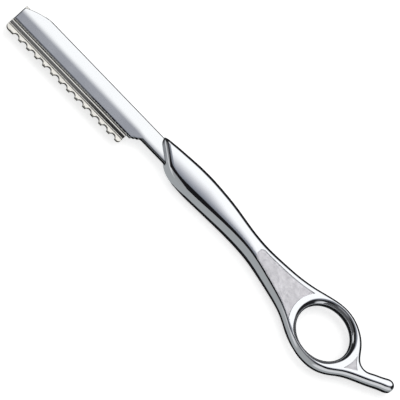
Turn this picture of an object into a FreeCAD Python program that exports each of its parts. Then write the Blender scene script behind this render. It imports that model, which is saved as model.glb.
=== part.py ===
"""A hair styling razor: a folded sheet holder for a guarded blade, on a grip with a finger ring and a tang.

X runs along the razor, from the blade's end at -X to the tang's end at +X. Y runs across it, towards the
spine. Z is its thickness. The origin is the centre of the finger ring's bore, halfway through the thickness.
"""

import FreeCAD, Part
import math
import os

V = FreeCAD.Vector

# Sizes, in millimetres

overrun = 5.0
quarter_turn = 90.0
full_turn = 360.0

# Rounded edges, each drawn as a few flats through the sections of the outline
edge_flats = 4
edge_overlap = 0.4
sections_per_row = 3

# Finger ring
finger_bore_radius = 12.1
bore_edge_radius = 1.3
ring_wall = 3.8
ring_thickness = 5.0
ring_edge_share = 0.78

# Grip
grip_length = 100.4
grip_thickness = 7.6
spine_height = 12.8
spine_edge_share = 0.84
crease_start_radius = 0.15
nose_length = 16.0

# Matte panels, sunk into both faces beside the ring
panel_recess = 0.3
panel_length = 25.5
panel_spine_rim = 3.3
panel_crease_land = 0.6
panel_ring_rim = 0.4
root_panel_rim = 3.6
root_panel_length = 5.0

# Tang
tang_reach = 35.8
tang_lean = 30.43
tang_width = 5.3
tang_thickness = 5.2
tang_edge_share = 0.5

# Guarded blade
cartridge_length = 65.0
cartridge_end_gap = 0.5
slide_clearance = 0.05
blade_thickness = 0.3
blade_end_margin = 0.4
blade_edge_proud = 0.35
blade_edge_width = 0.02
bevel_height = 1.1
guard_sheet = 0.2
guard_hold = 8.6
rib_gap = 0.1
rib_height = 1.35
rib_proud = 0.25
groove_height = 1.6
comb_height = 1.2
comb_proud = 0.2
guard_slope = 0.15
tooth_height = 1.4
tooth_pitch = 4.6
tooth_width = 1.6
tooth_tip_wall = 0.15
front_corner_radius = 2.0
rear_corner_radius = 1.4

# Blade holder, folded from one sheet
sheet = 0.6
neck_reach = 9.4
leaf_margin = 1.7
holder_depth = 11.9
spine_level = 10.4
tip_drop = 4.9
tip_run = 16.0
neck_depth = 8.4
step_run = 3.8
ridge_count = 3
ridge_height = 0.4
neck_insert = 26.0

# Liner between the leaves of the neck
liner_recess = 0.8

# Anchor pins through the neck
pin_radius = 1.4
pin_length = 5.2
pin_spacing = 12.0
pin_setback = 7.0
pin_count = 2

# Levels and places that follow from the sizes

ring_radius = finger_bore_radius + ring_wall
slot_half = blade_thickness / 2 + guard_sheet + slide_clearance
fold_radius = slot_half + sheet
leaf_end = -grip_length - neck_reach
head_front = leaf_end - leaf_margin - cartridge_length
leaf_low = spine_level - holder_depth
neck_low = spine_level - neck_depth
neck_end = neck_insert - grip_length
cartridge_end = head_front + cartridge_length
guard_half = blade_thickness / 2 + guard_sheet
guard_top = leaf_low + guard_hold
rib_top = leaf_low - rib_gap
rib_low = rib_top - rib_height
comb_top = rib_low - groove_height
valley_level = comb_top - comb_height
tip_level = valley_level - tooth_height
clear_height = max(grip_thickness, ring_thickness, tang_thickness) / 2 + overrun

# The grip's outline, as shares of grip_length forward of the ring and of spine_height

grip_spine_shares = (
    (1.060, 0.750),
    (0.960, 0.875),
    (0.875, 0.945),
    (0.780, 1.000),
    (0.690, 0.977),
    (0.595, 0.898),
    (0.497, 0.763),
    (0.410, 0.702),
    (0.310, 0.742),
    (0.210, 0.840),
)
grip_edge_shares = (
    (0.180, -0.555),
    (0.260, -0.327),
    (0.340, -0.142),
    (0.420, 0.015),
    (0.500, 0.073),
    (0.580, 0.065),
    (0.680, 0.015),
    (0.780, -0.025),
    (0.900, -0.023),
    (1.060, -0.015),
)
spine_seam_rows = (0, 3, 7)
blank_front = -grip_length * grip_spine_shares[0][0]

# The outline round the ring and the tang's root, as shares of the ring's outer radius

ring_spine_shares = (
    (-0.755, 0.824),
    (-0.280, 0.967),
    (0.160, 0.990),
    (0.525, 0.870),
    (0.775, 0.700),
    (0.955, 0.500),
)
root_spine_shares = ((1.090, 0.290), (1.235, 0.140), (1.420, 0.110))
tang_root_shares = (1.420, -0.095)
tang_side_shares = (0.40, 0.80)
tang_end_angles = (70.0, 25.0, -25.0, -70.0)
root_edge_shares = ((1.384, -0.299), (1.075, -0.497))
ring_edge_shares = ((0.774, -0.761), (0.472, -0.931), (0.100, -0.987), (-0.283, -0.925), (-0.692, -0.730))
ring_seam_rows = (2, 3)
crease_start_row = 4

# The nose's contour, as shares of nose_length behind the mouth and of spine_height

nose_shares = (
    (-0.030, 1.050),
    (0.040, 0.690),
    (0.175, 0.530),
    (0.425, 0.273),
    (0.675, 0.075),
    (0.925, 0.000),
    (1.250, -0.060),
)

# The grip's thickness, as shares of grip_length forward of the ring and of grip_thickness

thickness_shares = (
    (1.090, 0.740),
    (0.990, 0.810),
    (0.920, 0.900),
    (0.840, 0.975),
    (0.760, 1.000),
    (0.660, 1.000),
    (0.560, 1.000),
    (0.470, 0.985),
    (0.400, 0.925),
    (0.330, 0.840),
    (0.260, 0.765),
)


def smooth_curve(points):
    """A smooth curve through the points."""
    curve = Part.BSplineCurve()
    curve.interpolate([V(x, y, 0) for x, y in points])
    return curve


def plate(outline, low, high):
    """The closed outline, drawn in XY, standing from low to high in Z."""
    face = Part.Face(outline)
    face.translate(V(0, 0, low))
    return face.extrude(V(0, 0, high - low))


def box_between(low, high):
    """The box between two corners."""
    return Part.makeBox(high[0] - low[0], high[1] - low[1], high[2] - low[2], V(*low))


def bar(section, start, end):
    """The closed wire, drawn in YZ, running from start to end in X."""
    face = Part.Face(section)
    face.translate(V(start, 0, 0))
    return face.extrude(V(end - start, 0, 0))


def polygon(points):
    """The closed wire of straight edges through the points."""
    return Part.makePolygon(points + points[:1])


def stations():
    """Rows of place and half thickness, from the grip's front to past the tang's end."""
    rows = [(-grip_length * place, grip_thickness / 2 * share) for place, share in thickness_shares]
    rows += [(x, ring_thickness / 2) for x in (-ring_radius, 0, ring_radius)]
    rows += [(x, tang_thickness / 2) for x in (tang_reach - tang_width, tang_reach + overrun)]
    return rows


def half_thickness(x):
    """Half the grip's thickness at x, between the stations."""
    rows = stations()
    for (x0, half0), (x1, half1) in zip(rows, rows[1:]):
        if x <= x1:
            return half0 + (half1 - half0) * max(x - x0, 0) / (x1 - x0)
    return rows[-1][1]


def blank(sunk=0):
    """The slab that the grip is cut from, thick at the bulge and thin at the ring, its faces sunk or not."""
    rows = [(x, half - sunk) for x, half in stations()]
    side = -clear_height - spine_height - ring_radius
    faces = []
    for turn in (1, -1):
        curve = Part.BSplineCurve()
        curve.interpolate([V(x, side, turn * half) for x, half in rows])
        faces.append(curve.toShape())
    ends = [Part.makeLine(V(x, side, -half), V(x, side, half)) for x, half in (rows[0], rows[-1])]
    return Part.Face(Part.Wire([faces[0], ends[1], faces[1], ends[0]])).extrude(V(0, -2 * side, 0))


def contour():
    """The outline as rows of x, y and the edge's radius at a seam, from the front along the spine."""
    rows = []
    for row, (place, height) in enumerate(grip_spine_shares):
        x = -grip_length * place
        radius = spine_edge_share * half_thickness(x) if row in spine_seam_rows else None
        rows.append((x, spine_height * height, radius))
    for row, (along, across) in enumerate(ring_spine_shares):
        radius = ring_edge_share * ring_thickness / 2 if row == 0 else None
        rows.append((ring_radius * along, ring_radius * across, radius))
    tang_radius = tang_edge_share * tang_thickness / 2
    for row, (along, across) in enumerate(root_spine_shares):
        rows.append((ring_radius * along, ring_radius * across, tang_radius if row == 1 else None))
    root = V(*tang_root_shares, 0) * ring_radius
    lean = math.radians(tang_lean)
    run = tang_reach - tang_width / 2 - root.x
    tip = root + V(run, run * math.tan(lean), 0)
    across = V(-math.sin(lean), math.cos(lean), 0) * (tang_width / 2)
    for share in tang_side_shares:
        point = root + (tip - root) * share + across
        rows.append((point.x, point.y, None))
    for angle in tang_end_angles:
        turn = lean + math.radians(angle)
        point = tip + V(math.cos(turn), math.sin(turn), 0) * (tang_width / 2)
        rows.append((point.x, point.y, None))
    for share in reversed(tang_side_shares):
        point = root + (tip - root) * share - across
        rows.append((point.x, point.y, None))
    for row, (along, across) in enumerate(root_edge_shares):
        rows.append((ring_radius * along, ring_radius * across, tang_radius if row == 1 else None))
    ring_seams = {row: ring_edge_share * ring_thickness / 2 for row in ring_seam_rows}
    ring_seams[crease_start_row] = crease_start_radius
    for row, (along, across) in enumerate(ring_edge_shares):
        rows.append((ring_radius * along, ring_radius * across, ring_seams.get(row)))
    rows += [(-grip_length * place, spine_height * height, None) for place, height in grip_edge_shares]
    return rows


def grip_plan():
    """The grip's outline standing through its whole thickness, split where the edge's radius changes."""
    rows = contour()
    curve = smooth_curve([(x, y) for x, y, _ in rows])
    seams = [curve.parameter(V(x, y, 0)) for x, y, radius in rows if radius is not None]
    edges = []
    for start, end in zip(seams, seams[1:] + [curve.LastParameter]):
        stretch = curve.copy()
        stretch.segment(start, end)
        edges.append(stretch.toShape())
    edges.append(Part.makeLine(V(rows[-1][0], rows[-1][1], 0), V(rows[0][0], rows[0][1], 0)))
    return plate(Part.Wire(edges), -clear_height, clear_height)


def flats(radius, inward, upward):
    """Corners of the flats that stand for a rounded edge, run out past both its ends."""
    turns = [math.radians(quarter_turn) * flat / edge_flats for flat in range(edge_flats + 1)]
    corners = [V(radius * (1 - math.cos(turn)), radius * (math.sin(turn) - 1), 0) for turn in turns]
    lead = (corners[0] - corners[1]).normalize() * edge_overlap
    trail = (corners[-1] - corners[-2]).normalize() * edge_overlap
    corners = [corners[0] + lead] + corners[1:-1] + [corners[-1] + trail]
    corners.append(V(corners[-1].x, 2 * edge_overlap, 0))
    corners.append(V(-2 * edge_overlap, 2 * edge_overlap, 0))
    corners.append(V(-2 * edge_overlap, corners[0].y, 0))
    return [inward * corner.x + upward * corner.y for corner in corners]


def edge_section(curve, stop, radius):
    """The section of what a rounded edge takes off the upper face, at one stop of the outline."""
    point = curve.value(stop)
    along = curve.tangent(stop)[0]
    point.z = half_thickness(point.x)
    return polygon([point + corner for corner in flats(radius, V(along.y, -along.x, 0), V(0, 0, 1))])


def edge_cuts():
    """What the rounded edge takes off the upper face, seam by seam, from the front round to the crease."""
    rows = contour()
    curve = smooth_curve([(x, y) for x, y, _ in rows])
    places = [curve.parameter(V(x, y, 0)) for x, y, _ in rows]
    seams = [(place, row[2]) for place, row in zip(places, rows) if row[2] is not None]
    cuts = []
    for (start, radius), (end, next_radius) in zip(seams, seams[1:]):
        inner = [place for place in places if start <= place < end]
        stops = [end]
        for place, following in zip(inner, inner[1:] + [end]):
            stride = (following - place) / sections_per_row
            stops += [place + stride * step for step in range(sections_per_row)]
        growth = (next_radius - radius) / (end - start)
        wires = [edge_section(curve, stop, radius + growth * (stop - start)) for stop in sorted(stops)]
        cuts.append(Part.makeLoft(wires, True, False))
    return cuts


def bored(body):
    """The body with the ring's bore cut through it and both of the bore's edges rounded."""
    bore = Part.makeCylinder(finger_bore_radius, 2 * clear_height, V(0, 0, -clear_height), V(0, 0, 1))
    rim = V(finger_bore_radius, 0, ring_thickness / 2)
    corners = [rim + corner for corner in flats(bore_edge_radius, V(1, 0, 0), V(0, 0, 1))]
    flare = Part.Face(polygon(corners)).revolve(V(0, 0, 0), V(0, 0, 1), full_turn)
    return body.cut(bore).cut(flare).cut(flare.mirror(V(0, 0, 0), V(0, 0, 1)))


def nose_cut():
    """What lies in front of and below the nose's contour."""
    points = [(nose_length * x - grip_length, spine_height * y) for x, y in nose_shares]
    curve = smooth_curve(points)
    first = V(points[0][0], points[0][1], 0)
    last = V(points[-1][0], points[-1][1], 0)
    far_x = blank_front - overrun
    low_y = -spine_height - overrun
    corners = [last, V(last.x, low_y, 0), V(far_x, low_y, 0), V(far_x, first.y + overrun, 0)]
    corners += [V(first.x, first.y + overrun, 0), first]
    outline = Part.Wire([curve.toShape()] + Part.makePolygon(corners).Edges)
    return plate(outline, -clear_height, clear_height)


def panel_cut(plan, start, end, spine_rim, edge_rim):
    """The shallow pocket of a matte panel in both faces, kept clear of the outline and of the ring's rim."""
    area = plan.common(plan.translated(V(0, -spine_rim, 0))).common(plan.translated(V(0, edge_rim, 0)))
    reach = ring_radius + overrun
    area = area.common(box_between((start, -reach, -clear_height), (end, reach, clear_height)))
    radius = ring_radius + panel_ring_rim
    rim = Part.makeCylinder(radius, 2 * clear_height, V(0, 0, -clear_height), V(0, 0, 1))
    return area.cut(rim).cut(blank(panel_recess))


def holder_section(hollow):
    """The folded sheet's section in YZ: the sheet alone, or filled between its leaves."""
    low = leaf_low - overrun
    turn = spine_level - fold_radius
    outer_up = Part.makeLine(V(0, low, fold_radius), V(0, turn, fold_radius))
    outer_fold = Part.Arc(V(0, turn, fold_radius), V(0, spine_level, 0), V(0, turn, -fold_radius)).toShape()
    outer_down = Part.makeLine(V(0, turn, -fold_radius), V(0, low, -fold_radius))
    if not hollow:
        across = Part.makeLine(V(0, low, -fold_radius), V(0, low, fold_radius))
        return Part.Wire([outer_up, outer_fold, outer_down, across])
    foot = Part.makeLine(V(0, low, -fold_radius), V(0, low, -slot_half))
    inner_up = Part.makeLine(V(0, low, -slot_half), V(0, turn, -slot_half))
    inner_fold = Part.Arc(V(0, turn, -slot_half), V(0, turn + slot_half, 0), V(0, turn, slot_half)).toShape()
    inner_down = Part.makeLine(V(0, turn, slot_half), V(0, low, slot_half))
    close = Part.makeLine(V(0, low, slot_half), V(0, low, fold_radius))
    return Part.Wire([outer_up, outer_fold, outer_down, foot, inner_up, inner_fold, inner_down, close])


def holder_outline():
    """The holder's side view: the rounded tip, the straight spine, the neck and the ridged step."""
    tip_low = V(head_front, leaf_low, 0)
    tip_high = V(head_front, spine_level - tip_drop, 0)
    spine_start = V(head_front + tip_run, spine_level, 0)
    radius = (tip_run**2 + tip_drop**2) / (2 * tip_drop)
    half_turn = math.asin(tip_run / radius) / 2
    middle = spine_start - V(radius * math.sin(half_turn), radius * (1 - math.cos(half_turn)), 0)
    edges = [Part.makeLine(tip_low, tip_high), Part.Arc(tip_high, middle, spine_start).toShape()]
    above = spine_level + overrun
    step_end = V(leaf_end + step_run, neck_low, 0)
    corners = [V(spine_start.x, above, 0), V(neck_end, above, 0), V(neck_end, neck_low, 0)]
    edges += Part.makePolygon([spine_start, *corners, step_end]).Edges
    step_start = V(leaf_end, leaf_low, 0)
    stride = (step_start - step_end) / ridge_count
    inward = V(stride.y, -stride.x, 0) * (ridge_height / stride.Length)
    for ridge in range(ridge_count):
        start = step_end + stride * ridge
        edges.append(Part.Arc(start, start + stride / 2 + inward, start + stride).toShape())
    edges.append(Part.makeLine(step_start, tip_low))
    return Part.Wire(edges)


def anchor_pins():
    """Two steel pins through the neck, round which the grip is cast."""
    middle = (spine_level + neck_low) / 2
    pins = []
    for pin in range(pin_count):
        foot = V(neck_end - pin_setback - pin_spacing * pin, middle, -pin_length / 2)
        pins.append(Part.makeCylinder(pin_radius, pin_length, foot, V(0, 0, 1)))
    return Part.makeCompound(pins)


def blade_holder():
    """The stainless sheet folded along the spine, with its neck."""
    folded = bar(holder_section(True), head_front - overrun, neck_end + overrun)
    side_view = plate(holder_outline(), -fold_radius - overrun, fold_radius + overrun)
    return folded.common(side_view).cut(anchor_pins())


def neck_liner():
    """The flat steel strip between the leaves, which stops the guarded blade and fills the neck."""
    low = (cartridge_end + cartridge_end_gap, neck_low + liner_recess, -slot_half)
    high = (neck_end, spine_level - fold_radius, slot_half)
    return box_between(low, high).cut(anchor_pins())


def handle_body():
    """The polished grip with its ring and tang, cast round the neck and the pins."""
    plan = grip_plan()
    cuts = edge_cuts()
    body = plan.common(blank()).cut(cuts + [cut.mirror(V(0, 0, 0), V(0, 0, 1)) for cut in cuts])
    body = bored(body.cut(nose_cut()))
    body = body.cut(panel_cut(plan, -ring_radius - panel_length, 0, panel_spine_rim, panel_crease_land))
    body = body.cut(panel_cut(plan, 0, ring_radius + root_panel_length, root_panel_rim, root_panel_rim))
    filled = bar(holder_section(False), blank_front, neck_end)
    above = spine_level + overrun
    room = box_between((blank_front, neck_low, -clear_height), (neck_end, above, clear_height))
    return body.cut(filled.common(room)).cut(anchor_pins())


def guard_comb():
    """The guard: a thin strip folded over the blade's back, with a comb of teeth past the cutting edge."""
    blade_half = blade_thickness / 2
    rib_half = guard_half + rib_proud
    comb_half = guard_half + comb_proud
    tip_half = blade_half + tooth_tip_wall
    turn = guard_top - guard_half
    flank = [
        (turn, guard_half),
        (rib_top, guard_half),
        (rib_top - guard_slope, rib_half),
        (rib_low + guard_slope, rib_half),
        (rib_low, guard_half),
        (comb_top, guard_half),
        (comb_top - guard_slope, comb_half),
        (valley_level, comb_half),
        (tip_level, tip_half),
        (tip_level, blade_half),
        (turn, blade_half),
    ]
    near = [V(0, y, z) for y, z in flank]
    far = [V(0, y, -z) for y, z in reversed(flank)]
    outer_fold = Part.Arc(far[-1], V(0, guard_top, 0), near[0]).toShape()
    inner_fold = Part.Arc(near[-1], V(0, turn + blade_half, 0), far[0]).toShape()
    walls = [Part.makePolygon(side).Edges for side in (near, far)]
    section = Part.Wire([outer_fold] + walls[0] + [inner_fold] + walls[1])
    strip = bar(section, head_front - overrun, cartridge_end + overrun)
    return strip.common(plate(guard_outline(), -comb_half - overrun, comb_half + overrun))


def guard_outline():
    """The guard's side view: rounded lower corners and a valley between each pair of teeth."""
    last_tooth = cartridge_end - rear_corner_radius
    valleys = int((cartridge_length - front_corner_radius - rear_corner_radius) / tooth_pitch)
    first_valley = last_tooth - tooth_pitch * (valleys - 0.5)
    half_gap = (tooth_pitch - tooth_width) / 2
    above = guard_top + overrun
    bend = 1 - math.sqrt(0.5)
    front_top = V(head_front, above, 0)
    front_low = V(head_front, tip_level + front_corner_radius, 0)
    front_bend = V(head_front + front_corner_radius * bend, tip_level + front_corner_radius * bend, 0)
    at = V(head_front + front_corner_radius, tip_level, 0)
    edges = [Part.makeLine(front_top, front_low), Part.Arc(front_low, front_bend, at).toShape()]
    for valley in range(valleys):
        middle = first_valley + tooth_pitch * valley
        rise = V(middle - half_gap, tip_level, 0)
        fall = V(middle + half_gap, tip_level, 0)
        edges.append(Part.makeLine(at, rise))
        edges.append(Part.Arc(rise, V(middle, valley_level, 0), fall).toShape())
        at = fall
    rear_start = V(cartridge_end - rear_corner_radius, tip_level, 0)
    rear_bend = V(cartridge_end - rear_corner_radius * bend, tip_level + rear_corner_radius * bend, 0)
    rear_top = V(cartridge_end, tip_level + rear_corner_radius, 0)
    edges.append(Part.makeLine(at, rear_start))
    edges.append(Part.Arc(rear_start, rear_bend, rear_top).toShape())
    edges += Part.makePolygon([rear_top, V(cartridge_end, above, 0), front_top]).Edges
    return Part.Wire(edges)


def blade():
    """The hardened strip in the guard's fold, ground on both sides to the cutting edge."""
    half = blade_thickness / 2
    back = guard_top - guard_half
    edge = valley_level - blade_edge_proud
    shoulder = edge + bevel_height
    tip = blade_edge_width / 2
    corners = [(back, half), (shoulder, half), (edge, tip), (edge, -tip), (shoulder, -half), (back, -half)]
    section = polygon([V(0, y, z) for y, z in corners])
    return bar(section, head_front + blade_end_margin, cartridge_end - blade_end_margin)


def main():
    """Write one file for each piece."""
    os.makedirs("parts", exist_ok=True)
    for piece in (handle_body, blade_holder, neck_liner, anchor_pins, blade, guard_comb):
        shape = piece()
        shape.exportStep(f"parts/{piece.__name__}.step")
        print(piece.__name__, shape.isValid(), len(shape.Solids), round(shape.Volume, 1))


main()
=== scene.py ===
import math

import bpy
import numpy as np
from bpy.props import FloatProperty, FloatVectorProperty, PointerProperty
from mathutils import Matrix, Vector
from mathutils.geometry import delaunay_2d_cdt
from mathutils.kdtree import KDTree


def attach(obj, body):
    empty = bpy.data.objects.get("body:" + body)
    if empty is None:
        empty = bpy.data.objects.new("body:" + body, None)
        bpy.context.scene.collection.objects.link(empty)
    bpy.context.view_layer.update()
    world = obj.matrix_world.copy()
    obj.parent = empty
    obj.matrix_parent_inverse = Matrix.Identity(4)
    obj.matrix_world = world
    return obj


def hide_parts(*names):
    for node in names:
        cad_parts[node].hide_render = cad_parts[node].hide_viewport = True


bl_info = {
    "name": "Hair styling razor",
    "version": (1, 0, 0),
    "blender": (4, 5, 0),
    "location": "3D View > Sidebar > Razor",
    "description": "Polished grip, folded blade holder and guarded blade of a hair styling razor",
    "category": "Object",
}

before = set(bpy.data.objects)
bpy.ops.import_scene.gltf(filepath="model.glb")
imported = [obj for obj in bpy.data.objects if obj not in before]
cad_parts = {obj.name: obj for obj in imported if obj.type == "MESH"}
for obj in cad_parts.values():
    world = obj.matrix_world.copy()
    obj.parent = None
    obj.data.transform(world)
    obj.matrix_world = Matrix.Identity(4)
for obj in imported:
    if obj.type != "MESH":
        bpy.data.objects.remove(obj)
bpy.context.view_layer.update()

MM = 0.001

# Sizes in millimetres: the solids' own, apart from roundings, rolls and the panels' edges

bore_radius = 12.1
bore_rounding = 2.3
ring_radius = 15.9
ring_thickness = 5.0
ring_rounding = 1.95
grip_length = 100.4
grip_thickness = 7.6
spine_height = 12.8
spine_rounding_share = 0.84
nose_length = 16.0
nose_rounding = 0.3
nose_roll, nose_roll_slope = 2.2, 0.52
panel_recess = 0.3
panel_length = 25.5
panel_spine_rim = 3.3
panel_crease_land = 1.25
panel_ring_rim = 0.4
panel_corner = 1.8
root_panel_rim = 3.6
root_panel_length = 5.0
tang_reach = 35.8
tang_rise = 4.7
tang_width = 5.3
tang_thickness = 5.2
tang_rounding = 1.9

head_front = -176.5
leaf_end = -109.8
leaf_low = -1.5
spine_level = 10.4
tip_drop = 4.9
tip_run = 16.0
neck_low = 2.0
neck_hidden_end = -92.0
step_run = 3.8
ridge_count = 3
ridge_height = 0.4
slot_half = 0.4
fold_radius = 1.0

cartridge_length = 65.0
blade_thickness = 0.3
guard_half = 0.35
guard_top = 7.1
valley_level = -5.75
tip_level = -7.15
tooth_height = 1.4
tooth_pitch = 4.6
tooth_width = 1.6
front_corner = 2.0
rear_corner = 1.4

# Forms finer than the solids have: how a leaf leans and rolls in at its cut edge, its roundings, and the
# guard's section as heights above the leaf's lower edge and half thicknesses

leaf_lean_from, leaf_lean_to = 6.2, 2.6
neck_lean_from, neck_lean_to = 5.2, 2.4
leaf_roll, leaf_roll_slope = 0.9, 0.42
neck_roll = 0.5
holder_edge_round = 0.05
holder_tip_round = 0.45
tip_fade, tip_fade_low = 2.0, 0.5
guard_edge_round = 0.1
guard_rows = (
    (8.8, 0.35), (0.6, 0.35), (0.1, 0.32), (-0.2, 0.34), (-0.55, 0.46), (-0.9, 0.58), (-1.2, 0.62),
    (-1.6, 0.6), (-1.9, 0.51), (-2.3, 0.34), (-2.65, 0.23), (-3, 0.22), (-3.3, 0.36), (-3.55, 0.47),
    (-3.8, 0.5), (-4.4, 0.51), (-5, 0.53), (-5.9, 0.56),
)

# The grip's outline, as shares of grip_length forward of the ring and of spine_height

grip_spine_shares = (
    (1.06, 0.75), (0.96, 0.875), (0.875, 0.945), (0.78, 1), (0.69, 0.977),
    (0.595, 0.898), (0.497, 0.763), (0.41, 0.702), (0.31, 0.742), (0.21, 0.84),
)
grip_edge_shares = (
    (0.18, -0.586), (0.26, -0.362), (0.34, -0.189), (0.42, -0.048), (0.5, 0.003),
    (0.58, -0.005), (0.68, -0.051), (0.78, -0.095), (0.9, -0.101), (1.06, -0.093),
)
spine_seam_rows = (0, 3, 7)

# Round the ring and the tang's root, as shares of the ring's outer radius

ring_spine_shares = (
    (-0.755, 0.824), (-0.28, 0.967), (0.16, 0.99), (0.525, 0.87), (0.775, 0.7), (0.955, 0.5),
)
root_spine_shares = ((1.09, 0.29), (1.235, 0.14), (1.42, 0.11))
tang_root_shares = (1.42, -0.095)
tang_side_shares = (0.4, 0.8)
tang_end_angles = (70.0, 25.0, -25.0, -70.0)
root_edge_shares = ((1.384, -0.299), (1.075, -0.497))
ring_edge_shares = (
    (0.774, -0.761), (0.472, -0.931), (0.1, -0.987), (-0.283, -0.925), (-0.692, -0.73),
)

# The nose's contour, as shares of nose_length behind the mouth and of spine_height

nose_shares = (
    (-0.03, 1.05), (0.04, 0.69), (0.175, 0.52), (0.425, 0.25), (0.675, 0.03), (0.925, -0.07),
    (1.25, -0.16),
)

# The grip's thickness, as shares of grip_length forward of the ring and of grip_thickness

thickness_shares = (
    (1.09, 0.74), (0.99, 0.81), (0.92, 0.9), (0.84, 0.975), (0.76, 1), (0.66, 1),
    (0.56, 1), (0.47, 0.985), (0.4, 0.925), (0.33, 0.84), (0.26, 0.765),
)

# Where the faces fall towards the crease: place, then width and last slope of the slow crown and of the
# quick roll after it

crease_roll_rows = (
    (-104, 7.5, 0.061, 2.2, 0.48), (-92, 8, 0.061, 3.4, 0.5), (-72, 8, 0.061, 3.2, 0.5),
    (-61, 5, 0.058, 2.6, 0.5), (-47, 3.2, 0.05, 2.2, 0.5), (-36, 1, 0.04, 1.8, 0.5),
    (-20, 0.8, 0.03, 1.6, 0.5), (-10, 0.8, 0.02, 1.4, 0.46), (-1, 0.8, 0, 0.8, 0),
)

# The tent that the metal mirrors: degrees from straight up towards the front, and linear red, green and
# blue, for its middle and for its two sides

tent_middle_rows = (
    (-100, 0.02, 0.02, 0.022), (-58, 0.02, 0.02, 0.022), (-53, 0.8, 0.81, 0.83), (-44, 1.45, 1.45, 1.45),
    (-31.5, 1.45, 1.45, 1.45), (-27.5, 0.42, 0.43, 0.48), (-17, 0.31, 0.335, 0.38),
    (-8, 0.13, 0.13, 0.14), (10, 0.13, 0.13, 0.14), (24, 0.42, 0.43, 0.44), (60, 0.5, 0.51, 0.51),
    (100, 0.42, 0.43, 0.43),
)
tent_side_rows = (
    (-100, 0.02, 0.02, 0.022), (-12, 0.02, 0.02, 0.022), (8, 0.6, 0.61, 0.62), (22, 0.95, 0.95, 0.95),
    (100, 0.85, 0.85, 0.87),
)
tent_side_from, tent_side_to = 0.3, 0.46
tent_radius = 1200.0
tent_columns, tent_levels = 48, 14

# The paper, and the cards and cloths that only the metal mirrors, in millimetres. The cloth in front, the
# cloth in the ring and the grey card in it are painted shade, dark where the razor's own shade is mirrored.
# The rows give a place along the razor, then where the cloth behind the spine starts or how far the one in
# front reaches out.

paper_reach = 6000.0
paper_fibre = 2.5
paper_glow = 0.56
paper_in_mirrors = (0.48, 0.5, 0.505)
white = (1.0, 1.0, 1.0, 1.0)
black_paint = (0.012, 0.012, 0.013)
shade_card_grey = (0.11, 0.11, 0.115)
cloth_lift = 0.1
floor_cloth_rows = (
    (-400, 6), (-178, 7), (-170, 10.5), (-160, 14), (-112, 14), (-100, 15), (-60, 15), (-40, 13),
    (-14, 18), (6, 19), (22, 13), (60, 14), (400, 14),
)
floor_cloth_end = 1176.0
front_shade_cloth_rows = (
    (-86, 0.5), (-77, 1.7), (-30, 1.8), (-14, 1.9), (-4, 3), (10, 3.6), (30, 4), (40, 4),
)
front_shade_cloth_under = 2.0
bore_shade_cloth_radius = 11.6
bore_shade_cloth_points = 64
card_height = 80.0
near_card_outline = ((-134, 18), (-134, -32), (-2, -32), (-2, 18))
near_card_fade = (-18.0, -2.0)
tang_card_outline = ((19, 18), (19, -32), (75, -32), (75, 18))
ring_shade_card_outline = ((-8, 2, 2.5), (8, 2, 2.5), (8, 2, 20), (-8, 2, 20))

# The soft light and the camera, in millimetres and degrees

lamp_size = (1200.0, 900.0)
lamp_lean = -38.0
lamp_distance = 900.0
lamp_along = -60.0
view_centre = (-72.5, 2.18, 0.0)
lens, sensor = 400.0, 36.0

# Patterns: size of the mottling in millimetres, stretch of the drawn lines, and a noise's middle range

mottle_size = 1.6
line_stretch = (0.04, 1.0, 1.0)
noise_low, noise_high = 0.3, 0.7

# How fine the meshes are: steps and gaps in millimetres, and numbers of rows and points

contour_step = 0.35
thickness_step = 0.5
slope_step = 0.1
nose_step = 0.15
section_step, section_slope_step = 0.03, 0.02
fill_step = 0.65
holder_fill_step, guard_fill_step = 0.6, 0.55
strip_step = 0.5
step_width = 0.12
gap_at_edge, gap_at_step, gap_at_cut, gap_at_level, gap_at_nose = 0.25, 0.2, 0.1, 0.08, 0.05
touch, near_rim, near_wall = 1e-4, 0.02, 0.01
round_rows, strip_round_rows, nose_round_rows = 10, 3, 4
round_most, fold_most, inset_most = 0.98, 0.9999, 0.9
wholly, partly = 0.99, 0.01
wall_rows = 8
wall_lean = math.radians(9.0)
fold_angles = (10, 20, 30, 40, 50, 60, 70, 82)
bore_points = 200
nose_inner = slice(4, -6)
panel_points, panel_arc_points, panel_end_points = 400, 40, 12
tip_points, tip_arc_points, spine_points, neck_end_points, neck_points = 20, 40, 120, 16, 24
ridge_points, leaf_points, corner_points, valley_points, guard_end_points = 9, 90, 12, 15, 16
mirror = np.array((1, 1, -1))


# Colours

def linear(code):
    """The linear colour of an sRGB hex value."""
    parts = [int(code[i:i + 2], 16) / 255 for i in (0, 2, 4)]
    return tuple(c / 12.92 if c <= 0.04045 else ((c + 0.055) / 1.055) ** 2.4 for c in parts)


def rgba(colour):
    """The colour, fully opaque."""
    return (*colour, 1.0)


# Settings

class RazorGripSettings(bpy.types.PropertyGroup):
    """What a user would change on the grip."""
    crease_rounding: FloatProperty(
        name="Crease rounding", description="Radius of the long edge between the face and the side band",
        default=0.45 * MM, min=0.1 * MM, max=1.2 * MM, precision=5, unit="LENGTH", subtype="DISTANCE")
    chrome: FloatVectorProperty(
        name="Chrome", description="Colour of the polished plating", default=linear("D6D8DB"),
        size=3, min=0, max=1, subtype="COLOR")
    matte: FloatVectorProperty(
        name="Matte panel", description="Colour of the blasted panels beside the ring",
        default=linear("EAE8EB"), size=3, min=0, max=1, subtype="COLOR")


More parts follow.
